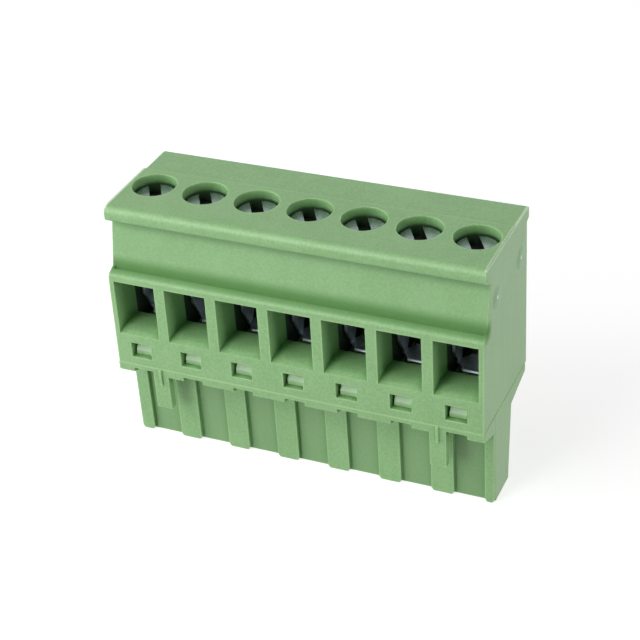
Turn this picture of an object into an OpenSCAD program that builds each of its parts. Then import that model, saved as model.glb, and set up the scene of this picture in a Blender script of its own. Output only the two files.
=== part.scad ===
// Pluggable screw terminal plug with side wire entry and rising-cage clamps.
// Units are millimetres. X runs along the row of poles, Y from the wire
// entries (-Y) to the back (+Y), Z up from the tip of the plug nose.
// The origin is the middle of the pin row, level with the tip of the nose.

/* [Layout] */
// Number of poles
poles = 7; // [2:1:12]
// Centre distance of neighbouring poles
pitch = 5.08; // [5:0.04:7.62]
// Height from the nose tip to the top face
overall_h = 25.2; // [24.5:0.1:30]
// Height of the seam between the two mouldings
seam_h = 9.35; // [8.6:0.05:9.8]
// Distance from the pin row back to the screw row
clamp_shift = 1.45; // [1.2:0.05:1.9]

/* [Housing outline] */
// Amount by which each end of the housing stands back from the plug base
end_setback = 0.06; // [0:0.01:0.15]
// Screw row to the foot of the entry face
front_reach = 5.95; // [5.8:0.05:7]
// Backward lean of the entry face over its height
face_draft = 0.19; // [0:0.01:0.3]
// Screw row to the rear face
rear_reach = 5.85; // [5.5:0.05:7.5]
// Top face to the shoulder above the wire entries
shoulder_drop = 6.53; // [6.3:0.01:6.7]
// Radius of that shoulder
shoulder_r = 0.45; // [0.2:0.05:0.5]
// Rise of the shelf from the shoulder back to the crease
shelf_rise = 0.43; // [0.2:0.01:0.6]
// Width of the groove in the crease
groove_w = 0.34; // [0.2:0.02:0.4]
// Depth of that groove below the crease
groove_depth = 0.3; // [0.2:0.02:0.34]
// Wall left at each end of that groove
groove_wall = 0.25; // [0.15:0.05:0.5]
// Screw row to the wall of the finger recess, under the grip lip
recess_reach = 3.87; // [3.6:0.01:4]
// Outward lean of the recess wall down to the crease
recess_lean = 0.88; // [0.6:0.02:1]
// Screw row to the front of the grip lip
lip_reach = 5.03; // [4.6:0.05:5.5]
// Height of the front of the grip lip
lip_h = 1.3; // [1:0.05:1.6]
// Drop of the underside of the grip lip to its root
lip_under = 0.55; // [0.2:0.05:0.8]
// Radius of the top edge of the grip lip
lip_r = 0.65; // [0.3:0.05:0.65]
// Radius of the lower edge of the grip lip
lip_foot_r = 0.25; // [0.1:0.05:0.3]
// Screw row to the front of the lower rear strip on the top face
strip_reach = 2.62; // [2.4:0.02:3]
// Drop of that rear strip below the top face
strip_drop = 0.11; // [0.05:0.01:0.3]
// Sideways offset of the rear strip at the two ends
strip_shift = 0.15; // [0.05:0.01:0.25]
// Overhang of the rear lip beyond the rear face
rear_lip = 0.62; // [0.3:0.02:0.9]
// Height of the rear lip
rear_lip_h = 1.05; // [0.6:0.05:1.5]

/* [Wire entries] */
// Width of a wire entry
entry_w = 4.06; // [4.04:0.01:4.12]
// Top face to the top of the wire entries
entry_drop = 7.17; // [7:0.01:7.4]
// Height of the sill of the wire entries over the seam
sill_h = 3.23; // [3.1:0.01:3.5]
// Depth of the wall in front of the clamp chamber, from the entry face
entry_wall = 3.6; // [3.4:0.05:3.7]
// Rise of the rounded entry floor above its sill
floor_rise = 0.44; // [0.2:0.01:0.6]
// Distance from the entry face to the crest of the floor
floor_crest = 1.5; // [1:0.05:2.5]
// Fall of the floor from its crest to the clamp chamber
floor_fall = 0.28; // [0.1:0.01:0.5]

/* [Clamp chambers] */
// Width of a clamp chamber
chamber_w = 4.14; // [4.08:0.01:4.2]
// Play of the clamp and of the contact in the chamber
chamber_play = 0.1; // [0.05:0.01:0.15]

/* [Clamp screws] */
// Diameter of the screw wells in the top face
well_d = 4.06; // [4.0:0.01:4.4]
// Diameter of the screw heads
head_d = 3.8; // [3.4:0.05:3.9]
// Height of the screw heads
head_h = 1.95; // [1.6:0.05:2.2]
// Depth of the screw heads below the top face
head_sink = 0.97; // [0.6:0.01:1.2]
// Width of the driver slot
slot_w = 1.0; // [0.6:0.05:1.2]
// Depth of the driver slot
slot_depth = 0.85; // [0.5:0.05:1.1]
// Direction of the slots, from the front towards +X
slot_turn = 31; // [0:1:180]
// Diameter of the threaded shank
shank_d = 2.9; // [2.5:0.05:3]
// Radial clearance of the shank in the thread of the cage
thread_play = 0.05; // [0.02:0.01:0.1]
// Radial clearance of the shank in the floor of the well
guide_play = 0.15; // [0.1:0.01:0.3]
// Thickness of the floor of the well
well_floor = 1.13; // [0.9:0.01:1.3]
// Gap under the screw head and over the raised cage
end_play = 0.05; // [0.02:0.01:0.1]

/* [Clamp cages] */
// Gap between the clamping plate and the current bar when a cage is up
clamp_gap = 0.07; // [0.05:0.01:0.3]
// Height of the threaded collar
collar_h = 1.7; // [1.5:0.05:1.75]
// Depth of the threaded collar, front to back
collar_l = 4.2; // [3.9:0.05:4.3]
// Sheet thickness of the cage
cage_t = 0.32; // [0.25:0.01:0.4]
// Depth of the cage walls, front to back
cage_l = 2.6; // [2.2:0.05:2.8]
// Depth of the neck that joins the walls to the clamping plate
neck_l = 0.5; // [0.3:0.05:1]
// Height of the cut-back corners over the clamping plate
relief_h = 1.7; // [1.2:0.05:1.9]
// Width of the tongues of the clamping plate
tongue_w = 2.1; // [1.6:0.05:2.6]
// Depth of the clamping plate below the entry sill
plate_sink = 0.2; // [0.1:0.01:0.3]

/* [Contacts] */
// Thickness of the current bar and its riser
bar_t = 0.9; // [0.7:0.05:0.95]
// Width of the current bar
bar_w = 2.9; // [2.4:0.05:3]
// Gap between the current bar and the collar of the open cage
bar_gap = 0.15; // [0.1:0.01:0.25]
// Reach of the current bar in front of the screw row
bar_reach = 1.9; // [1.5:0.05:2.1]
// Gap between the back of the cage and the riser
riser_gap = 0.25; // [0.2:0.01:0.3]
// Thickness of the foot that lies on the plug base
foot_t = 0.8; // [0.6:0.05:1]
// Width of the spring leaves
leaf_w = 2.5; // [2:0.05:2.7]
// Thickness of the spring leaves
leaf_t = 0.3; // [0.2:0.01:0.35]
// Gap between the spring leaves at the contact point
leaf_gap = 0.8; // [0.6:0.05:0.9]

/* [Plug nose] */
// Screw row to the panels on the front of the nose
panel_reach = 3.05; // [2.9:0.05:3.3]
// Height of the ribs over the panels
rib_depth = 0.4; // [0.3:0.05:0.6]
// Width of the ribs
rib_w = 2.17; // [1.8:0.01:2.6]
// Sideways offset of the ribs from the pole boundaries
rib_shift = 0.2; // [0:0.01:0.3]
// Width of the chamfers on the rib tips
rib_chamfer = 0.2; // [0.1:0.05:0.4]
// Pin row to the rear of the nose at its root
nose_back = 2.85; // [2.4:0.05:3.2]
// Forward lean of the rear of the nose down to its tip
nose_draft = 0.9; // [0.2:0.05:1]
// Height of the root of the nose, under the flange
nose_root = 7.7; // [7.2:0.05:8]
// Width of a contact cavity
cavity_w = 2.9; // [2.8:0.05:3.2]
// Depth of a contact cavity, front to back
cavity_l = 2.0; // [1.9:0.05:2.1]
// Thickness of the floor at the tip of the nose
nose_floor = 1.0; // [0.8:0.05:1.2]
// Side of the square pin openings
pin_open = 1.6; // [1.2:0.05:1.7]
// Widening of the pin openings at the tip
pin_lead = 0.35; // [0.1:0.05:0.45]

/* [Flange and latches] */
// Screw row to the rear edge of the flange
flange_back = 5.47; // [5:0.01:5.5]
// Height of the flange edge in the notches at the front
flange_edge = 0.45; // [0.3:0.01:0.5]
// Height of the flange edge at the back
flange_rear = 0.68; // [0.5:0.01:0.9]
// Drop of the lips below the notches
lip_drop = 0.38; // [0.2:0.01:0.5]
// Width of the notches under the windows
notch_w = 1.93; // [1.8:0.01:2]
// Depth of the notches, front to back
notch_l = 1.05; // [0.8:0.05:1.1]
// Width of the latch windows
window_w = 1.97; // [1.9:0.01:2.2]
// Height of the latch windows
window_h = 1.5; // [1.3:0.05:1.6]
// Height of the sill of the latch windows over the seam
window_sill = 0.85; // [0.7:0.05:1]
// Thickness of the wall that carries the windows
window_wall = 1.0; // [0.8:0.05:1.1]
// Width of the latch fingers
finger_w = 1.6; // [1.4:0.05:1.7]
// Thickness of the latch fingers
finger_t = 0.85; // [0.7:0.05:0.95]
// Clearance round the latch fingers
finger_gap = 0.1; // [0.05:0.01:0.15]
// Engagement of the latch hooks in their windows
hook_grip = 0.5; // [0.2:0.05:0.6]
// Height of the upright front of the latch hooks
hook_h = 0.45; // [0.3:0.05:0.8]
// Width of the locking tabs
tab_w = 1.56; // [1.4:0.01:1.7]
// Thickness of the locking tabs
tab_t = 0.8; // [0.7:0.05:0.9]
// Height of the ends of the locking tabs over the nose tip
tab_end = 5.0; // [4.5:0.1:5.5]
// Width of the rib at the root of each locking tab
tab_rib_w = 0.3; // [0.2:0.05:0.5]
// Height of that rib over the tab
tab_rib_t = 0.15; // [0.1:0.01:0.25]
// Length of that rib below the seam
tab_rib_l = 1.7; // [1.2:0.05:2]

/* [Hidden] */
$fn = 48;
eps = 0.01;                       // run-over of a cut past the face it leaves

base_len = poles * pitch;
housing_len = base_len - 2 * end_setback;

// heights of the wire entry and the clamping plate
top_z = overall_h;
entry_top = top_z - entry_drop;
sill_z = seam_h + sill_h;
entry_h = entry_top - sill_z;
plate_top = sill_z - plate_sink;

// heights of the screw and cage: the collar below the floor of the well and the
// plate below the current bar have the same room to rise
head_z = top_z - head_sink;
seat_z = head_z - head_h - end_play;
ceiling_z = seat_z - well_floor;
stack_h = 2 * end_play + collar_h + bar_gap + bar_t + clamp_gap;
cage_travel = (ceiling_z - plate_top - stack_h) / 2;
collar_z = ceiling_z - 2 * end_play - cage_travel - collar_h;
screw_tip = collar_z + end_play;

// the chamber and the current bar
face_top = -front_reach + face_draft;
chamber_y = -front_reach + entry_wall;
bar_top = collar_z - bar_gap;
riser_y = collar_l / 2 + riser_gap;
chamber_back = riser_y + bar_t + chamber_play;
cage_w = chamber_w - 2 * chamber_play;

// the crease at the foot of the finger recess
crease_y = -recess_reach - recess_lean;
crease_z = top_z - shoulder_drop + shelf_rise;

// the window wall and the latch pocket
pocket_y = -front_reach + window_wall;
pocket_back = pocket_y + finger_t + 2 * finger_gap;
window_z = seam_h + window_sill;

lip_bottom = seam_h - flange_edge - lip_drop;
tab_x = (poles - 1) / 2 * pitch - notch_w / 2 - tab_w / 2;

function pole_x(i) = (i - (poles + 1) / 2) * pitch;

// corner p between a and b, rounded with radius r in n steps
function corner(a, p, b, r, n) =
    let (u = (a - p) / norm(a - p), w = (b - p) / norm(b - p),
         half = acos(u * w) / 2, c = p + (u + w) / norm(u + w) * r / sin(half),
         s = p + u * r / tan(half) - c, e = p + w * r / tan(half) - c,
         a0 = atan2(s[1], s[0]), turn = (atan2(e[1], e[0]) - a0 + 540) % 360 - 180)
    [for (k = [0:n]) c + r * [cos(a0 + turn * k / n), sin(a0 + turn * k / n)]];

// outline through [x, y, radius] corners
function rounded(pts, n = 4) = let (m = len(pts))
    [for (i = [0:m - 1])
        let (p = pts[i], a = pts[(i + m - 1) % m], b = pts[(i + 1) % m])
        each (p[2] > 0 ? corner([a[0], a[1]], [p[0], p[1]], [b[0], b[1]], p[2], n)
                       : [[p[0], p[1]]])];

// a Y-Z outline run along X, centred on X = 0
module along_x(len) {
    rotate([90, 0, 90]) linear_extrude(len, center = true) children();
}

// cross-section of the housing, Y from the screw row
function housing_outline() = rounded([
    [-front_reach, seam_h, 0],
    [face_top, top_z - shoulder_drop, shoulder_r],
    [crease_y, crease_z, 0],
    [-recess_reach, top_z - lip_h - lip_under, 0.12],
    [-lip_reach, top_z - lip_h, lip_foot_r],
    [-lip_reach, top_z, lip_r],
    [strip_reach, top_z, 0],
    [strip_reach, top_z - strip_drop, 0],
    [rear_reach + rear_lip, top_z - strip_drop, 0.2],
    [rear_reach + rear_lip, top_z - strip_drop - rear_lip_h, 0.1],
    [rear_reach, top_z - strip_drop - rear_lip_h - 0.25, 0.15],
    [rear_reach, seam_h, 0]]);

// side view of one side of the entry floor, an arc that falls from its crest
module floor_arc(side, run, fall) {
    arc_r = (run * run + fall * fall) / (2 * fall);
    translate([-front_reach + floor_crest, sill_z + floor_rise]) intersection() {
        translate([0, -arc_r]) circle(arc_r, $fn = 240);
        translate([side > 0 ? -eps : -run - 1, -2]) square([run + 1 + eps, 3]);
    }
}

// side view of a wire entry, whose floor rises from the sill and falls to the chamber
module entry_side() {
    difference() {
        translate([-front_reach - 1, sill_z - 1])
            square([entry_wall + 1 + eps, entry_h + 1]);
        floor_arc(-1, floor_crest - face_draft / 2, floor_rise);
        floor_arc(1, entry_wall - floor_crest, floor_fall);
        translate([-front_reach - 2, sill_z - 2]) square([2 + face_draft, 2]);
    }
}

// side view of the groove in the crease, with a round bottom
module groove_side() {
    r = groove_w / 2;
    translate([crease_y - r, crease_z - groove_depth + r]) {
        circle(r);
        translate([-r, 0]) square([groove_w, groove_depth]);
    }
}

module housing_pole() {
    // screw well and the guide hole in its floor
    translate([0, 0, seat_z]) cylinder(d = well_d, h = top_z - seat_z + 1);
    translate([0, 0, ceiling_z - eps])
        cylinder(d = shank_d + 2 * guide_play, h = well_floor + 2 * eps);
    // clamp chamber, open at the seam
    translate([-chamber_w / 2, chamber_y, seam_h - 1])
        cube([chamber_w, chamber_back - chamber_y, ceiling_z - seam_h + 1]);
    // room for the front of the contact's foot
    translate([-bar_w / 2 - chamber_play, -clamp_shift - cavity_l / 2 - chamber_play, seam_h - 1])
        cube([bar_w + 2 * chamber_play, cavity_l, foot_t + chamber_play + 1]);
    // wire entry
    along_x(entry_w) entry_side();
    // latch window and the pocket for the latch finger
    translate([-window_w / 2, -front_reach - 1, window_z])
        cube([window_w, window_wall + 1 + eps, window_h]);
    translate([-window_w / 2, pocket_y, seam_h - 1])
        cube([window_w, pocket_back - pocket_y, window_sill + window_h + 1 + finger_gap]);
}

module housing() {
    color([0.47, 0.66, 0.42])
    translate([0, clamp_shift, 0])
    difference() {
        along_x(housing_len) polygon(housing_outline());
        for (i = [1:poles]) translate([pole_x(i), 0, 0]) housing_pole();
        along_x(housing_len - 2 * groove_wall) groove_side();
        // the rear strip ends short at one end, the front part of the top at the other
        translate([-housing_len / 2 - 1, strip_reach, top_z - 4 * strip_drop])
            cube([1 + strip_shift, rear_reach, 1]);
        translate([housing_len / 2 - strip_shift, -lip_reach - 1, top_z - strip_drop])
            cube([1, lip_reach + strip_reach + 1, 1]);
    }
}

// one rib, seen from the front, with chamfered tips
module rib_face(x0, x1) {
    polygon([[x0, nose_root + eps], [x0, 1.5 * rib_chamfer], [x0 + rib_chamfer, 0],
             [x1 - rib_chamfer, 0], [x1, 1.5 * rib_chamfer], [x1, nose_root + eps]]);
}

// latch finger with its hook, side view, Y from the screw row
module finger_side() {
    front = pocket_y + finger_gap;
    hook_z = window_z + end_play;
    nose_y = pocket_y - hook_grip;
    finger_top = window_z + window_h;
    polygon([[front, seam_h - eps], [front, hook_z], [nose_y, hook_z],
             [nose_y, hook_z + hook_h], [front, finger_top],
             [front + finger_t, finger_top], [front + finger_t, seam_h - eps]]);
}

// pin opening with its square lead-in, on the pin row
module pin_opening() {
    w = pin_open / 2;
    lead = [[-w - pin_lead - eps, -eps], [w + pin_lead + eps, -eps], [w, pin_lead],
            [w, nose_floor + eps], [-w, nose_floor + eps], [-w, pin_lead]];
    intersection() {
        along_x(4 * pin_open) polygon(lead);
        rotate([90, 0, 0]) linear_extrude(4 * pin_open, center = true) polygon(lead);
    }
}

module plug_base() {
    color([0.45, 0.64, 0.40])
    difference() {
        union() {
            // flange, its underside falling towards the nose
            translate([0, clamp_shift, 0]) along_x(base_len) polygon([
                [-front_reach, seam_h], [-front_reach, lip_bottom],
                [-panel_reach - rib_depth, nose_root], [nose_back - clamp_shift, nose_root],
                [flange_back, seam_h - flange_rear], [flange_back, seam_h]]);
            // nose with its rear draft
            along_x(base_len) polygon([
                [clamp_shift - panel_reach, 0], [nose_back - nose_draft, 0],
                [nose_back, nose_root + eps], [clamp_shift - panel_reach, nose_root + eps]]);
            // ribs over the pole boundaries, cut off at the ends
            for (i = [0:poles]) {
                x = (i - poles / 2) * pitch + rib_shift;
                translate([0, clamp_shift - panel_reach + eps, 0]) rotate([90, 0, 0])
                    linear_extrude(rib_depth + eps)
                        rib_face(max(x - rib_w / 2, -base_len / 2),
                                 min(x + rib_w / 2, base_len / 2));
            }
            // latch fingers
            for (i = [1:poles]) translate([pole_x(i), clamp_shift, 0])
                along_x(finger_w) finger_side();
            // locking tabs, flush with the lips
            for (s = [-1, 1]) translate([s * tab_x, clamp_shift - front_reach, 0]) {
                translate([-tab_w / 2, 0, tab_end]) cube([tab_w, tab_t, seam_h - tab_end]);
                translate([-tab_rib_w / 2, -tab_rib_t, seam_h - tab_rib_l])
                    cube([tab_rib_w, tab_rib_t + eps, tab_rib_l]);
            }
        }
        for (i = [1:poles]) translate([pole_x(i), 0, 0]) {
            // notch under the window
            translate([-notch_w / 2, clamp_shift - front_reach - 1, tab_end - 1])
                cube([notch_w, notch_l + 1, seam_h - flange_edge - tab_end + 1]);
            // contact cavity and pin opening
            translate([-cavity_w / 2, -cavity_l / 2, nose_floor])
                cube([cavity_w, cavity_l, seam_h]);
            pin_opening();
        }
    }
}

// one spring leaf, side view, on the +Y side of the pin
module leaf_side() {
    y0 = cavity_l / 2 - chamber_play;
    y1 = leaf_gap / 2 + leaf_t;
    z = nose_floor;
    polygon([[y0, seam_h + eps], [y0, seam_h - 1.2], [y1, z + 2.2], [y1, z + 1.5],
             [y1 + 0.25, z + 0.4], [y1 + 0.25 - leaf_t, z + 0.4], [y1 - leaf_t, z + 1.5],
             [y1 - leaf_t, z + 2.2], [y0 - leaf_t, seam_h - 1.2],
             [y0 - leaf_t, seam_h + eps]]);
}

// bent strip: current bar, riser, foot and the two spring leaves
module contact(i) {
    color([0.78, 0.79, 0.78]) translate([pole_x(i), 0, 0]) {
        translate([0, clamp_shift, 0]) along_x(bar_w) polygon(rounded([
            [-bar_reach, bar_top, 0.2], [-bar_reach, bar_top - bar_t, 0.2],
            [riser_y, bar_top - bar_t, 0.2], [riser_y, seam_h + foot_t, 0.2],
            [-clamp_shift - cavity_l / 2, seam_h + foot_t, 0.2],
            [-clamp_shift - cavity_l / 2, seam_h, 0],
            [riser_y + bar_t, seam_h, 0.3], [riser_y + bar_t, bar_top, 0.6]]));
        along_x(leaf_w) {
            leaf_side();
            mirror([1, 0]) leaf_side();
        }
    }
}

// side wall of the cage, Y from the screw row, with cut-back lower corners
module cage_wall() {
    a = collar_l / 2;
    b = cage_l / 2;
    c = neck_l / 2;
    z0 = plate_top - cage_t;
    half = [[c, z0], [c + 0.1, plate_top], [c + (b - c) * 0.42, plate_top + relief_h * 0.38],
            [c + (b - c) * 0.8, plate_top + relief_h * 0.78], [b, plate_top + relief_h],
            [b, collar_z - 1.3], [a, collar_z - 0.2], [a, collar_z + eps]];
    polygon(concat(half, [for (k = [len(half) - 1:-1:0]) [-half[k][0], half[k][1]]]));
}

// clamping plate from above, with a tongue at the front and at the back
module cage_plate() {
    w = cage_w / 2;
    t = tongue_w / 2;
    b = cage_l / 2;
    c = neck_l / 2;
    half = [[w, c], [w - (w - t) * 0.45, c + (b - c) * 0.25],
            [t + (w - t) * 0.25, c + (b - c) * 0.55], [t, b]];
    quarter = concat(half, [for (k = [len(half) - 1:-1:0]) [-half[k][0], half[k][1]]]);
    polygon(concat(quarter, [for (p = quarter) [-p[0], -p[1]]]));
}

module clamp_cage(i) {
    color([0.70, 0.72, 0.74]) translate([pole_x(i), clamp_shift, 0]) {
        // threaded collar
        difference() {
            translate([-cage_w / 2, -collar_l / 2, collar_z])
                cube([cage_w, collar_l, collar_h]);
            translate([0, 0, collar_z - 1])
                cylinder(d = shank_d + 2 * thread_play, h = collar_h + 2);
        }
        for (s = [-1, 1]) translate([s * (cage_w - cage_t) / 2, 0, 0])
            along_x(cage_t) cage_wall();
        translate([0, 0, plate_top - cage_t]) linear_extrude(cage_t) cage_plate();
    }
}

module clamp_screw(i) {
    color([0.80, 0.80, 0.78]) translate([pole_x(i), clamp_shift, 0])
    difference() {
        union() {
            translate([0, 0, screw_tip]) cylinder(d = shank_d, h = head_z - screw_tip - eps);
            translate([0, 0, head_z - head_h]) cylinder(d = head_d, h = head_h);
        }
        rotate([0, 0, slot_turn]) translate([-slot_w / 2, -head_d, head_z - slot_depth])
            cube([slot_w, 2 * head_d, slot_depth + 1]);
    }
}

housing();
plug_base();
for (i = [1:poles]) {
    contact(i);
    clamp_cage(i);
    clamp_screw(i);
}
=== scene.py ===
"""Looks of a pluggable screw terminal plug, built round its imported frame."""

import math
from itertools import combinations

import bmesh
import bpy
from mathutils import Matrix, Vector
from mathutils.geometry import intersect_point_line


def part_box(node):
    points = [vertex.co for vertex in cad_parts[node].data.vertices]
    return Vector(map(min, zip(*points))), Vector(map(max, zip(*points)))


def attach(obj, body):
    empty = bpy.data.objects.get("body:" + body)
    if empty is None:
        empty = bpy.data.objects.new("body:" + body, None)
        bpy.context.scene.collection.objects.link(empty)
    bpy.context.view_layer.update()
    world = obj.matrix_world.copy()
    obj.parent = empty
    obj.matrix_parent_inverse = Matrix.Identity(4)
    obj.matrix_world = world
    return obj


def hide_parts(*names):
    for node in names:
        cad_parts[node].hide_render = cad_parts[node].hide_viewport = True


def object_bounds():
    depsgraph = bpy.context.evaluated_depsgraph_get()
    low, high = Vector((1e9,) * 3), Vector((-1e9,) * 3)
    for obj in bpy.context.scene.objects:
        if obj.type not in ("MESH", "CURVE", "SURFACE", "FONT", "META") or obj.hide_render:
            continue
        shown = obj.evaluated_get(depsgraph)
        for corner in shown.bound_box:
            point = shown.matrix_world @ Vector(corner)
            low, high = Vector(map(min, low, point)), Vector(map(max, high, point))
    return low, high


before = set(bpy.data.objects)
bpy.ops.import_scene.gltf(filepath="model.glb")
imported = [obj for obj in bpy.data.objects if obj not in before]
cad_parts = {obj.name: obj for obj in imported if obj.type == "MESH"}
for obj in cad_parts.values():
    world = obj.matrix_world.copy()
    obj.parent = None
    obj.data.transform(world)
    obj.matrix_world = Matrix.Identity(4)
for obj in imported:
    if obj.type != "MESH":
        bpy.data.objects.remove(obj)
cad_low, cad_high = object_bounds()

MM = 0.001
TINY = MM / 100
WELD = MM / 1000

# the row of poles
BODY = "housing_body"
POLES = sum(name.startswith("clamp_screw_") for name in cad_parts)
FIRST_X = sum(c.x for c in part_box("clamp_screw_1")) / 2
LAST_X = sum(c.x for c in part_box(f"clamp_screw_{POLES}")) / 2
PITCH = (LAST_X - FIRST_X) / (POLES - 1)
SCREW_Y = sum(c.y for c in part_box("clamp_screw_1")) / 2

# screws: a head on a shank that gets its thread here
SCREW_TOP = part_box("clamp_screw_1")[1].z
SCREW_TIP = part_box("clamp_screw_1")[0].z
HEAD_H = 1.95 * MM
THREAD_PITCH = 0.5 * MM
THREAD_R = 1.45 * MM
ROOT_R = 1.22 * MM
THREAD_FLANK = 0.42 * THREAD_PITCH
THREAD_DEPTH_IN_ROOT = 0.04 * MM
THREAD_RUNOUT = 0.4 * MM
STEPS_PER_TURN = 20

# cages: length along Y, sheet thickness, roll of the clamping plate's front edge
CAGE_L = 2.6 * MM
CAGE_T = 0.32 * MM
PLATE_ROLL = 0.27 * MM
PLATE_ROLL_STEPS = 5

# edge radii of the mouldings and of the metal
MOULDED_R = 0.06 * MM
CONTACT_R = 0.08 * MM
CAGE_R = 0.09 * MM
SCREW_R = 0.07 * MM

# places on the mouldings where the tone changes
TOP_Z = cad_high.z
END_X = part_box("housing")[1].x
WELL_R = 2.03 * MM
ENTRY_HALF = 2.05 * MM
ENTRY_FOOT = 11.3 * MM
ENTRY_TOP = 18.5 * MM
CHAMBER_FRONT = -0.905 * MM
CHAMBER_BACK = 4.8 * MM
CHAMBER_SHEET_Z = 15.4 * MM
RECESS_BACK = -2.35 * MM
RECESS_FRONT = -3.6 * MM
RECESS_FOOT = 19.5 * MM
RECESS_TOP = 24.4 * MM
CREASE_Y = -3.30 * MM
CREASE_Z = TOP_Z - 6.10 * MM
CREASE_CORE = 0.1 * MM
CREASE_REACH = 1.35 * MM
GLINT_X = 17.52 * MM
WITNESS_X = (-12.9 * MM, 12.5 * MM)
HOOK_FOOT = 10.45 * MM
HOOK_FRONT = -3.75 * MM
PANEL_Y = -1.60 * MM

# ejector marks on the end: centres (Y, Z), and the profile as (radius, height) from it
MARK_PLACES = ((5.60 * MM, 21.26 * MM), (-0.78 * MM, 21.08 * MM))
MARK_PROFILE = ((0.0, 0.058), (0.12, 0.052), (0.22, 0.022), (1.14, 0.022),
                (1.20, 0.0), (1.20, -0.30), (0.0, -0.30))
MARK_FACE = 0.010 * MM
MARK_STUB = 0.0355 * MM
MARK_STEPS = 48

# rounding: what counts as an edge, and the room that it needs
EDGE_ANGLE = math.radians(30)
SHARP_ANGLE = math.radians(32)
STRIP_ANGLE = math.radians(50)
LEAD_ANGLE = math.radians(60)
ROOM = 2.2
TURNS_BACK = -0.98

# studio: name, direction from the middle, distance in metres, watts
MIDDLE = Vector((0, 0, 14)) * MM
LAMP_WIDTH = 0.47
LAMPS = (("high_left", (-0.35, -0.60, 0.72), 0.30, 0.245),
         ("low_left", (-0.36, -0.87, 0.33), 0.26, 0.235),
         ("left", (-0.90, -0.25, 0.35), 0.30, 0.480),
         ("right", (0.95, -0.15, 0.30), 0.55, 1.14),
         ("back", (0.00, 0.50, 0.87), 0.55, 0.22),
         ("behind", (0.15, 0.95, 0.10), 0.55, 1.10))
WORLD_LEVEL = 0.04
FLOOR_HALF = 1.5
FLOOR_GLOW = 0.72


def shade(red, green, blue):
    """A colour for a socket."""
    return (red, green, blue, 1.0)


GREEN_DULL = shade(0.252, 0.472, 0.199)
GREEN_FRESH = shade(0.308, 0.544, 0.251)
GREEN_CORNER_SHADE = shade(0.045, 0.175, 0.028)
GREEN_EDGE_LIGHT = shade(0.46, 0.72, 0.33)
GREEN_LINE = shade(0.37, 0.66, 0.30)
GREEN_WELL_SHADE = shade(0.06, 0.19, 0.035)
GREEN_RECESS_SHADE = shade(0.19, 0.36, 0.16)
GREEN_WITNESS = shade(0.20, 0.40, 0.15)
GREEN_CREASE_SHADE = shade(0.085, 0.24, 0.052)
GREEN_END_GLINT = shade(0.66, 0.85, 0.60)
GREEN_MARK = shade(0.20, 0.42, 0.24)
GREEN_STUB_GLINT = shade(0.85, 0.95, 0.82)
GREEN_HOOK_LIGHT = shade(0.40, 0.59, 0.36)
GREEN_PANEL_SHADE = shade(0.19, 0.35, 0.15)
PIT_SHADE = shade(0.010, 0.018, 0.012)
CHAMBER_SHADE = shade(0.008, 0.014, 0.010)
CHAMBER_BLUE_SHADE = shade(0.024, 0.032, 0.044)
ZINC_BRIGHT = shade(0.80, 0.87, 0.97)
ZINC_DULL = shade(0.52, 0.59, 0.68)
TIN_BRIGHT = shade(0.66, 0.66, 0.63)
TIN_DULL = shade(0.42, 0.43, 0.42)
HEAD_DULL = shade(0.29, 0.34, 0.35)
HEAD_BRIGHT = shade(0.38, 0.44, 0.46)
SLOT_SHADE = shade(0.03, 0.035, 0.035)
FLOOR_GREY = shade(0.50, 0.50, 0.50)


# ---------------------------------------------------------------- shaders

class Value:
    """A shader socket that takes part in Python sums."""

    def __init__(self, finish, socket):
        self.finish = finish
        self.socket = socket

    def maths(self, operation, *others):
        return self.finish.node(
            "ShaderNodeMath", {"operation": operation}, dict(enumerate([self, *others])))

    def __add__(self, other):
        return self.maths("ADD", other)

    def __sub__(self, other):
        return self.maths("SUBTRACT", other)

    def __mul__(self, other):
        return self.maths("MULTIPLY", other)

    def __rsub__(self, other):
        return self.finish.node(
            "ShaderNodeMath", {"operation": "SUBTRACT"}, {0: other, 1: self})

    __radd__ = __add__
    __rmul__ = __mul__


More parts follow.
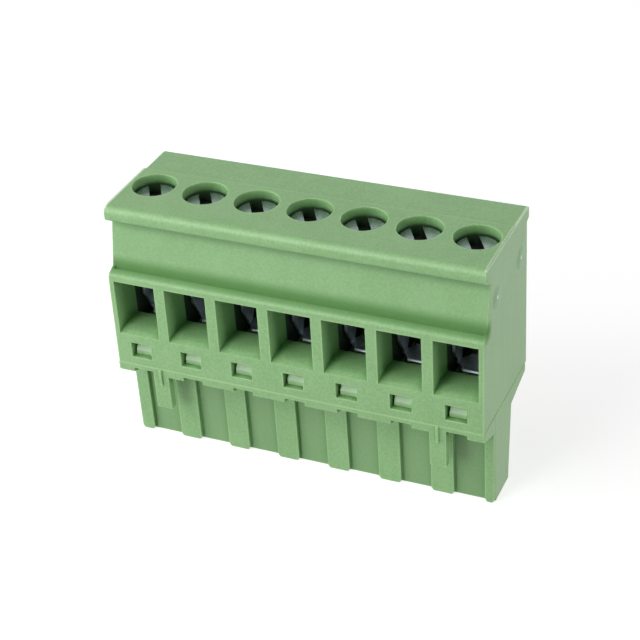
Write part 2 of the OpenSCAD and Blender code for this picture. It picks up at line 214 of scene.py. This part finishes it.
class Finish:
    """One material, with a method that adds any node to it."""

    def __init__(self, name, tree=None):
        if tree is None:
            self.material = bpy.data.materials.new(name)
            self.material.use_nodes = True
            tree = self.material.node_tree
        self.tree = tree
        self.tree.nodes.clear()

    def node(self, kind, settings=None, inputs=None, output=0):
        """Adds a node, sets it up, feeds its sockets and gives one output."""
        made = self.tree.nodes.new(kind)
        for key, value in (settings or {}).items():
            setattr(made, key, value)
        for key, value in (inputs or {}).items():
            if isinstance(value, Value):
                self.tree.links.new(value.socket, made.inputs[key])
            else:
                made.inputs[key].default_value = value
        return Value(self, made.outputs[output])

    def place(self):
        """Object coordinates, and their three parts."""
        point = self.node("ShaderNodeTexCoord", output="Object")
        return point, [self.node("ShaderNodeSeparateXYZ", inputs={0: point}, output=axis)
                       for axis in range(3)]

    def noise(self, point, scale, detail=2.0, roughness=0.5):
        """Noise from 0 to 1 with features of about 1 / scale metres."""
        return self.node("ShaderNodeTexNoise", inputs={
            "Vector": point, "Scale": scale, "Detail": detail, "Roughness": roughness})

    def stretch(self, point, factors):
        """The point scaled along each axis, for grain with a direction."""
        return self.node("ShaderNodeMapping", inputs={"Vector": point, "Scale": factors},
                         output="Vector")

    def step(self, value, low, high):
        """0 at low and 1 at high, smooth between."""
        return self.node("ShaderNodeMapRange", {"interpolation_type": "SMOOTHSTEP"}, {
            "Value": value, "From Min": low, "From Max": high})

    def above(self, value, edge, width):
        """0 below an edge and 1 above it, smooth over a width."""
        return self.step(value, edge - width / 2, edge + width / 2)

    def below(self, value, edge, width):
        """1 below an edge and 0 above it, smooth over a width."""
        return self.step(value, edge + width / 2, edge - width / 2)

    def ridge(self, value, centre, width):
        """1 on a line, 0 a width away from it."""
        away = (value - centre).maths("ABSOLUTE")
        return self.step(away, width, 0.0)

    def blend(self, share, first, second):
        """A colour between two colours or colour sockets."""
        return self.node("ShaderNodeMix", {"data_type": "RGBA"}, {
            0: share, 6: first, 7: second}, output=2)

    def open_air(self, reach, inside=False):
        """1 on open faces, less in the piece's own corners, or inside behind its edges."""
        return self.node("ShaderNodeAmbientOcclusion",
                         {"samples": 8, "only_local": True, "inside": inside},
                         {"Distance": reach}, output="AO")

    def bump(self, height, distance):
        """A normal from a height of 0 to 1 that is distance metres tall."""
        return self.node("ShaderNodeBump", inputs={
            "Strength": 1.0, "Distance": distance, "Height": height}, output="Normal")

    def close(self, **inputs):
        """Ends the material in one Principled shader."""
        names = {key.replace("_", " "): value for key, value in inputs.items()}
        shader = self.node("ShaderNodeBsdfPrincipled", inputs=names)
        self.node_output(shader)
        return self.material

    def seen_white(self):
        """1 for what the camera, a gloss or a clear piece sees, 0 for soft light."""
        camera_ray, glossy_ray, clear_ray = [
            self.node("ShaderNodeLightPath", output=f"Is {kind} Ray")
            for kind in ("Camera", "Glossy", "Transmission")]
        return camera_ray.maths("MAXIMUM", glossy_ray).maths("MAXIMUM", clear_ray)

    def node_output(self, shader, kind="ShaderNodeOutputMaterial"):
        """Leads a shader to the end of the tree."""
        end = self.tree.nodes.new(kind)
        self.tree.links.new(shader.socket, end.inputs["Surface"])


def across_poles(finish, x, y, shift=0.0):
    """Distance along the row from the nearest pole, and from its screw axis."""
    local = finish.node("ShaderNodeMath", {"operation": "WRAP"}, {
        0: x - FIRST_X - shift, 1: PITCH / 2, 2: -PITCH / 2})
    depth = y - SCREW_Y
    return local, (local * local + depth * depth).maths("SQRT")


def moulded_green(name):
    """Satin moulded polyamide: cloudy and flecked colour, flow marks, fine spark texture."""
    finish = Finish(name)
    point, axes = finish.place()
    cloud = finish.noise(point, 260, 3.0)
    fleck = finish.noise(point, 4400, 2.0)
    spark = finish.noise(point, 11000, 1.0)
    flow = finish.noise(finish.stretch(point, (900, 900, 140)), 1.0, 3.0)
    tone = cloud * 0.25 + flow * 0.2 + fleck * 0.55
    colour = finish.blend(finish.step(tone, 0.36, 0.64), GREEN_DULL, GREEN_FRESH)
    height = spark * 0.5 + fleck * 0.25 + finish.noise(point, 1900, 2.0) * 0.25
    return finish, point, axes, colour, height, 0.30 + 0.10 * fleck + 0.06 * cloud


def close_green(finish, colour, height, rough, calm=0.0):
    """Ends the green: painted shade in corners, painted light along thin edges, neither of them
    where calm.
    """
    # painted shade: darker in the piece's own corners and creases, from ambient occlusion
    corner_shade = (1 - finish.open_air(0.9 * MM)).maths("POWER", 0.8) * (1 - calm)
    colour = finish.blend(corner_shade, colour, GREEN_CORNER_SHADE)
    # painted light: thin edges and rims paler, as if lit through the thin plastic
    edge = finish.step(finish.open_air(0.22 * MM, True), 0.95, 0.45) * (1 - calm)
    return finish.close(
        Base_Color=finish.blend(edge * 0.72, colour, GREEN_EDGE_LIGHT),
        Roughness=rough,
        Normal=finish.bump(height, 0.022 * MM),
        Specular_IOR_Level=0.5,
        Subsurface_Weight=0.16,
        Subsurface_Radius=(0.5, 1.0, 0.35),
        Subsurface_Scale=0.45 * MM,
        IOR=1.53)


def top_lines(finish, point, x, y, z):
    """Broken mould lines between the poles, on the top alone."""
    between, _ = across_poles(finish, x, y, PITCH / 2)
    top = finish.above(z, TOP_Z - 0.25 * MM, 0.1 * MM)
    broken = finish.step(finish.noise(point, 500), 0.35, 0.6)
    return finish.ridge(between, 0.0, 0.07 * MM) * top * broken


def painted_well_shade(finish, colour, radius, z):
    """Painted shade in the wells: darker downwards and nearly black round the screw heads."""
    bore = finish.below(radius, WELL_R + 0.02 * MM, 0.08 * MM)
    well_shade = bore * finish.below(z, TOP_Z - 0.4 * MM, 1.8 * MM)
    colour = finish.blend(well_shade * 0.9, colour, GREEN_WELL_SHADE)
    pit_shade = bore * finish.below(z, SCREW_TOP + 0.15 * MM, 0.4 * MM)
    return finish.blend(pit_shade * 0.9, colour, PIT_SHADE)


def recess_shade_and_witness(finish, colour, x, y, z):
    """Under the lip: painted shade on the recess, with two faint witness lines on it."""
    shaded_recess = (finish.below(y, RECESS_BACK, 0.3 * MM) * finish.above(y, RECESS_FRONT, 0.2 * MM)
            * finish.above(z, RECESS_FOOT, 0.6 * MM) * finish.below(z, RECESS_TOP, 0.4 * MM))
    colour = finish.blend(shaded_recess * 0.22, colour, GREEN_RECESS_SHADE)
    witness = sum(finish.ridge(x, place, 0.06 * MM) for place in WITNESS_X)
    return finish.blend(witness * shaded_recess * 0.18, colour, GREEN_WITNESS)


def crease_shade_mask(finish, y, z):
    """1 in the crease between the recess and the shoulder, fading round it: where a shadow is
    painted.
    """
    away_y = y - CREASE_Y
    away_z = z - CREASE_Z
    away = (away_y * away_y + away_z * away_z).maths("SQRT")
    return finish.step(away, CREASE_REACH, CREASE_CORE)


def housing_finish():
    """Housing green: mould and witness lines, a painted glint on the top ends and gate stubs,
    painted shade in wells, recess, crease and entries.
    """
    finish, point, (x, y, z), colour, height, rough = moulded_green("housing_green")
    beside, radius = across_poles(finish, x, y)
    line = top_lines(finish, point, x, y, z)
    colour = finish.blend(line * 0.2, colour, GREEN_LINE)
    colour = painted_well_shade(finish, colour, radius, z)
    colour = recess_shade_and_witness(finish, colour, x, y, z)
    # painted shadow along the crease above the shoulder
    crease = crease_shade_mask(finish, y, z)
    colour = finish.blend(crease * 0.85, colour, GREEN_CREASE_SHADE)
    # painted glint on the top edge at both ends
    end_glint = (finish.above(x.maths("ABSOLUTE"), GLINT_X, 0.08 * MM)
              * finish.above(z, TOP_Z - 0.185 * MM, 0.13 * MM))
    colour = finish.blend(end_glint * 0.9, colour, GREEN_END_GLINT)
    # painted shade on the entry side faces inside the chamber: near black low down, dark bluish
    # higher up
    side = (finish.ridge(beside.maths("ABSOLUTE"), ENTRY_HALF, 0.14 * MM)
            * finish.below(z, ENTRY_TOP, 0.2 * MM) * finish.above(z, ENTRY_FOOT, 0.2 * MM)
            * finish.below(y, CHAMBER_BACK, 0.2 * MM))
    inside = finish.above(y, CHAMBER_FRONT, 0.05 * MM)
    chamber_shade_tone = finish.blend(finish.above(z, CHAMBER_SHEET_Z, 0.8 * MM),
                         CHAMBER_SHADE, CHAMBER_BLUE_SHADE)
    colour = finish.blend(side * inside, colour, chamber_shade_tone)
    mark = finish.above(x, END_X + MARK_FACE, 0.012 * MM)
    colour = finish.blend(mark * 0.35, colour, GREEN_MARK)
    # painted glint on the gate stubs of the ejector marks
    stub = finish.above(x, END_X + MARK_STUB, 0.019 * MM)
    colour = finish.blend(stub * 0.95, colour, GREEN_STUB_GLINT)
    calm = (end_glint + crease + stub + side * 0.5).maths("MINIMUM", 1.0)
    return close_green(finish, colour, height + line * 0.8, rough + crease * 0.5, calm)


def base_finish():
    """Base green, with painted shade on the set-back panels and painted light on the snap
    hooks.
    """
    finish, _, (_, y, z), colour, height, rough = moulded_green("base_green")
    # painted light: the snap hooks paler, as if lit from above
    hooks = finish.above(z, HOOK_FOOT, 0.1 * MM) * finish.below(y, HOOK_FRONT, 0.3 * MM)
    colour = finish.blend(hooks * 0.75, colour, GREEN_HOOK_LIGHT)
    # painted shade on the set-back panels between the ribs
    panels = finish.ridge(y, PANEL_Y, 0.2 * MM)
    colour = finish.blend(panels * 0.5, colour, GREEN_PANEL_SHADE)
    return close_green(finish, colour, height, rough)


def rolled_steel(name, bright, dull, grain):
    """Plated sheet with rolling grain, faint stains and dulled patches."""
    finish = Finish(name)
    point, _ = finish.place()
    lines = finish.noise(finish.stretch(point, grain), 1.0, 4.0, 0.6)
    stain = finish.noise(point, 900, 3.0)
    return finish.close(
        Base_Color=finish.blend(finish.step(lines * 0.6 + stain * 0.4, 0.3, 0.7), dull, bright),
        Metallic=1.0,
        Roughness=0.30 + 0.14 * lines + 0.08 * stain,
        Normal=finish.bump(lines, 0.004 * MM))


def turned_steel(name):
    """Plated screw: turning rings round each pole's axis, scuffs, and painted shade in the slot
    and everywhere below the head's top face.
    """
    finish = Finish(name)
    point, (x, y, z) = finish.place()
    _, radius = across_poles(finish, x, y)
    rings = (radius * (2 * math.pi / (0.11 * MM))).maths("SINE") * 0.5 + 0.5
    scuff = finish.noise(finish.stretch(point, (3800, 900, 3800)), 1.0, 4.0, 0.65)
    stain = finish.noise(point, 1300, 3.0)
    colour = finish.blend(finish.step(scuff * 0.5 + stain * 0.5, 0.32, 0.68),
                          HEAD_DULL, HEAD_BRIGHT)
    # painted shade: near black everywhere below the head's top face, in the slot too
    slot = finish.below(z, SCREW_TOP - 0.10 * MM, 0.08 * MM)
    return finish.close(
        Base_Color=finish.blend(slot * 0.93, colour, SLOT_SHADE),
        Metallic=1.0,
        Roughness=0.20 + 0.06 * scuff + 0.05 * stain + 0.2 * slot,
        Normal=finish.bump(rings * 0.4 + scuff * 0.6, 0.003 * MM))


housing_green = housing_finish()
base_green = base_finish()
clamp_zinc = rolled_steel("clamp_zinc", ZINC_BRIGHT, ZINC_DULL, (5200, 5200, 500))
contact_tin = rolled_steel("contact_tin", TIN_BRIGHT, TIN_DULL, (4200, 600, 600))
screw_zinc = turned_steel("screw_zinc")


# ----------------------------------------------------------------- pieces

def keep(bm, name, material, body, strips=None):
    """Makes a piece of a finished bmesh and lets it ride a body."""
    mesh = bpy.data.meshes.new(name)
    for face in bm.faces:
        face.smooth = True
    normals = None if strips is None else corner_normals(bm, strips)
    bm.to_mesh(mesh)
    bm.free()
    mesh.materials.append(material)
    if normals:
        mesh.normals_split_custom_set(normals)
    else:
        mesh.set_sharp_from_angle(angle=SHARP_ANGLE)
    piece = bpy.data.objects.new(name, mesh)
    bpy.context.scene.collection.objects.link(piece)
    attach(piece, body)
    return piece


def corner_normals(bm, strips):
    """Shading that keeps flat faces flat and turns over the strips that round an edge."""
    bm.normal_update()
    strips = set(strips)
    areas = {face: face.calc_area() for face in bm.faces}

    def within(faces, lead, limit):
        return [f for f in faces if f.normal.angle(lead.normal, 0) < limit]

    normals = []
    for face in bm.faces:
        for vert in face.verts:
            plain = [f for f in vert.link_faces if f not in strips]
            if face not in strips:
                group = within(plain, face, SHARP_ANGLE)
            elif near := within(plain, face, LEAD_ANGLE):
                lead = min(near, key=lambda f: f.normal.angle(face.normal, 0))
                group = within(near, lead, SHARP_ANGLE)
            else:
                group = within(vert.link_faces, face, STRIP_ANGLE)
            total = sum((f.normal * areas[f] for f in group), Vector())
            normals.append(total.normalized() if total.length else face.normal.copy())
    return normals


def gap_between(first, second):
    """The least distance from an end of one straight side to the other side."""
    gaps = []
    for side, other in ((first, second), (second, first)):
        for point in other:
            share = intersect_point_line(point, *side)[1]
            foot = side[0].lerp(side[1], min(max(share, 0.0), 1.0))
            gaps.append((point - foot).length)
    return min(gaps)


def crowded(face, sharp, gap):
    """The corners of a face where a sharp side and another run too closely past each other."""
    sides = [(loop.vert, loop.link_loop_next.vert, loop.edge in sharp) for loop in face.loops]
    found = set()
    for first, second in combinations(sides, 2):
        if not (first[2] or second[2]):
            continue
        one, two = [[vert.co for vert in side[:2]] for side in (first, second)]
        along = (one[1] - one[0]).normalized().dot((two[1] - two[0]).normalized())
        if set(first[:2]) & set(second[:2]):
            too_close = along < TURNS_BACK
        else:
            too_close = along < 0 and gap_between(one, two) < gap
        if too_close:
            found.update(first[:2] + second[:2])
    return found


def node_copy(node):
    """A CAD node as one merged bmesh with whole flat faces."""
    bm = bmesh.new()
    bm.from_mesh(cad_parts[node].data)
    bmesh.ops.remove_doubles(bm, verts=bm.verts, dist=WELD)
    bmesh.ops.dissolve_limit(bm, angle_limit=math.radians(0.5),
                             verts=bm.verts, edges=bm.edges)
    return bm


def soften(bm, radius, steps=2):
    """Rounds the sharp edges that leave room for it, inside the box the piece had before."""
    low, high = [[limit(v.co[axis] for v in bm.verts) for axis in range(3)]
                 for limit in (min, max)]
    sharp = {e for e in bm.edges if e.is_manifold and e.calc_face_angle(0) > EDGE_ANGLE}
    tight = set().union(*(crowded(face, sharp, ROOM * radius) for face in bm.faces))
    corners = [e for e in bm.edges if e in sharp and not tight.intersection(e.verts)]
    rounded = bmesh.ops.bevel(bm, geom=corners, offset=radius, offset_type="OFFSET",
                              segments=steps, profile=0.5, affect="EDGES",
                              clamp_overlap=False, material=-1)
    for vert in rounded["verts"]:
        vert.co = [min(max(c, least), most) for c, least, most in zip(vert.co, low, high)]
    return rounded["faces"]


def softened(node, name, material, radius):
    """A CAD node of the fixed body, with the small edge radii of its moulding or sheet."""
    bm = node_copy(node)
    piece = keep(bm, name, material, BODY, soften(bm, radius))
    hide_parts(node)


def clamp_cage(pole):
    """A folded cage whose clamping plate has a rolled front edge."""
    node = f"clamp_cage_{pole}"
    bm = node_copy(node)
    front = SCREW_Y - CAGE_L / 2
    plate_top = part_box(node)[0].z + CAGE_T
    lead = [e for e in bm.edges
            if all(abs(v.co.y - front) < TINY and abs(v.co.z - plate_top) < TINY
                   for v in e.verts)]
    rolled = bmesh.ops.bevel(bm, geom=lead, offset=PLATE_ROLL, offset_type="OFFSET",
                             segments=PLATE_ROLL_STEPS, profile=0.5, affect="EDGES",
                             material=-1)
    strips = soften(bm, CAGE_R, 3) + rolled["faces"]
    piece = keep(bm, f"cage_sheet_{pole}", clamp_zinc, node,
                 [face for face in strips if face.is_valid])
    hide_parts(node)


def threaded_screw(pole):
    """A clamp screw: the CAD form with its shank cut down to a helical thread."""
    node = f"clamp_screw_{pole}"
    bm = node_copy(node)
    axis = Vector((FIRST_X + (pole - 1) * PITCH, SCREW_Y, 0))
    shank = [v for v in bm.verts if v.co.z < SCREW_TOP - HEAD_H + TINY
             and (v.co.xy - axis.xy).length < THREAD_R + TINY]
    bmesh.ops.scale(bm, vec=(ROOT_R / THREAD_R, ROOT_R / THREAD_R, 1), verts=shank,
                    space=Matrix.Translation(-axis))
    strips = soften(bm, SCREW_R)
    thread(bm, axis, SCREW_TIP + THREAD_RUNOUT, SCREW_TOP - HEAD_H - THREAD_RUNOUT)
    piece = keep(bm, f"screw_{pole}", screw_zinc, node,
                 [face for face in strips if face.is_valid])
    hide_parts(node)


def thread(bm, axis, foot, top):
    """A pointed ridge wound round the shank."""
    buried = ROOT_R - THREAD_DEPTH_IN_ROOT
    corners = [bm.verts.new(axis + Vector((radius, 0, foot + rise)))
               for radius, rise in ((buried, -THREAD_FLANK), (THREAD_R, 0),
                                    (buried, THREAD_FLANK))]
    outline = [bm.edges.new((corners[k], corners[k - 1])) for k in range(3)]
    turns = (top - foot) / THREAD_PITCH
    steps = round(turns * STEPS_PER_TURN)
    before = set(bm.faces)
    bmesh.ops.spin(bm, geom=corners + outline, cent=axis, axis=(0, 0, 1),
                   dvec=(0, 0, (top - foot) / steps), angle=2 * math.pi * turns,
                   steps=steps, use_merge=False)
    bmesh.ops.holes_fill(bm, edges=[e for e in bm.edges if e.is_boundary], sides=3)
    ridge = [f for f in bm.faces if f not in before]
    bmesh.ops.recalc_face_normals(bm, faces=ridge)


def ejector_mark(number, y, z):
    """A round mark on the housing's end, with the stub of a gate in the middle."""
    bm = bmesh.new()
    points = [bm.verts.new((END_X + out * MM, y, z + away * MM))
              for away, out in MARK_PROFILE]
    line = [bm.edges.new(pair) for pair in zip(points, points[1:])]
    bmesh.ops.spin(bm, geom=points + line, cent=(END_X, y, z), axis=(1, 0, 0),
                   angle=2 * math.pi, steps=MARK_STEPS, use_merge=True)
    bmesh.ops.remove_doubles(bm, verts=bm.verts, dist=WELD)
    bmesh.ops.recalc_face_normals(bm, faces=bm.faces)
    keep(bm, f"ejector_mark_{number}", housing_green, BODY)


softened("housing", "housing_moulding", housing_green, MOULDED_R)
softened("plug_base", "base_moulding", base_green, MOULDED_R)
for pole in range(1, POLES + 1):
    softened(f"contact_{pole}", f"contact_strip_{pole}", contact_tin,
             CONTACT_R)
    clamp_cage(pole)
    threaded_screw(pole)
for number, (mark_y, mark_z) in enumerate(MARK_PLACES, 1):
    ejector_mark(number, mark_y, mark_z)


# ------------------------------------------------------ floor, light, camera

def stage_floor():
    """A wide pale floor that reads white to the camera and keeps the soft shadow."""
    bm = bmesh.new()
    bmesh.ops.create_grid(bm, x_segments=1, y_segments=1, size=FLOOR_HALF)
    bmesh.ops.translate(bm, verts=bm.verts, vec=(0, 0, cad_low.z))
    mesh = bpy.data.meshes.new("floor")
    bm.to_mesh(mesh)
    bm.free()
    finish = Finish("floor_white")
    paint = finish.node("ShaderNodeBsdfDiffuse", inputs={"Color": FLOOR_GREY})
    glow = finish.node("ShaderNodeEmission",
                       inputs={"Strength": finish.seen_white() * FLOOR_GLOW})
    finish.node_output(finish.node("ShaderNodeAddShader", inputs={0: paint, 1: glow}))
    mesh.materials.append(finish.material)
    floor = bpy.data.objects.new("floor", mesh)
    bpy.context.scene.collection.objects.link(floor)


def soft_lamp(name, way, reach, power):
    """A square lamp some way from the middle of the part, about half as wide as it is far."""
    data = bpy.data.lights.new(name, "AREA")
    data.shape = "SQUARE"
    data.size = LAMP_WIDTH * reach
    data.energy = power
    lamp = bpy.data.objects.new(name, data)
    lamp.location = MIDDLE + reach * Vector(way)
    lamp.rotation_euler = (-Vector(way)).to_track_quat("-Z", "Y").to_euler()
    bpy.context.scene.collection.objects.link(lamp)


def white_world():
    """A world that looks white, also in gloss, and lights the part at a low level."""
    world = bpy.data.worlds.new("studio")
    world.use_nodes = True
    finish = Finish("studio_nodes", world.node_tree)
    strength = finish.node("ShaderNodeMix", inputs={
        "Factor": finish.seen_white(), "A": WORLD_LEVEL, "B": 1.0})
    back = finish.node("ShaderNodeBackground", inputs={"Strength": strength})
    finish.node_output(back, "ShaderNodeOutputWorld")
    bpy.context.scene.world = world


def camera():
    """A long lens in front, to the right of and above the wire entries."""
    right = Vector((0.916782, 0.394956, -0.059336))
    down = Vector((0.170437, -0.521251, -0.836211))
    ahead = Vector((-0.361195, 0.756510, -0.545189))
    place = Vector((55.627, -114.566, 97.465)) * MM
    data = bpy.data.cameras.new("camera")
    data.sensor_width = 36.0
    data.lens = 95.831
    data.clip_start = 0.01
    data.clip_end = 10.0
    view = bpy.data.objects.new("camera", data)
    turn = Matrix((right, -down, -ahead)).transposed().to_4x4()
    view.matrix_world = Matrix.Translation(place) @ turn
    bpy.context.scene.collection.objects.link(view)
    bpy.context.scene.camera = view


stage_floor()
white_world()
for name, way, reach, power in LAMPS:
    soft_lamp(name, way, reach, power)
camera()

scene = bpy.context.scene
scene.view_settings.view_transform = "Standard"
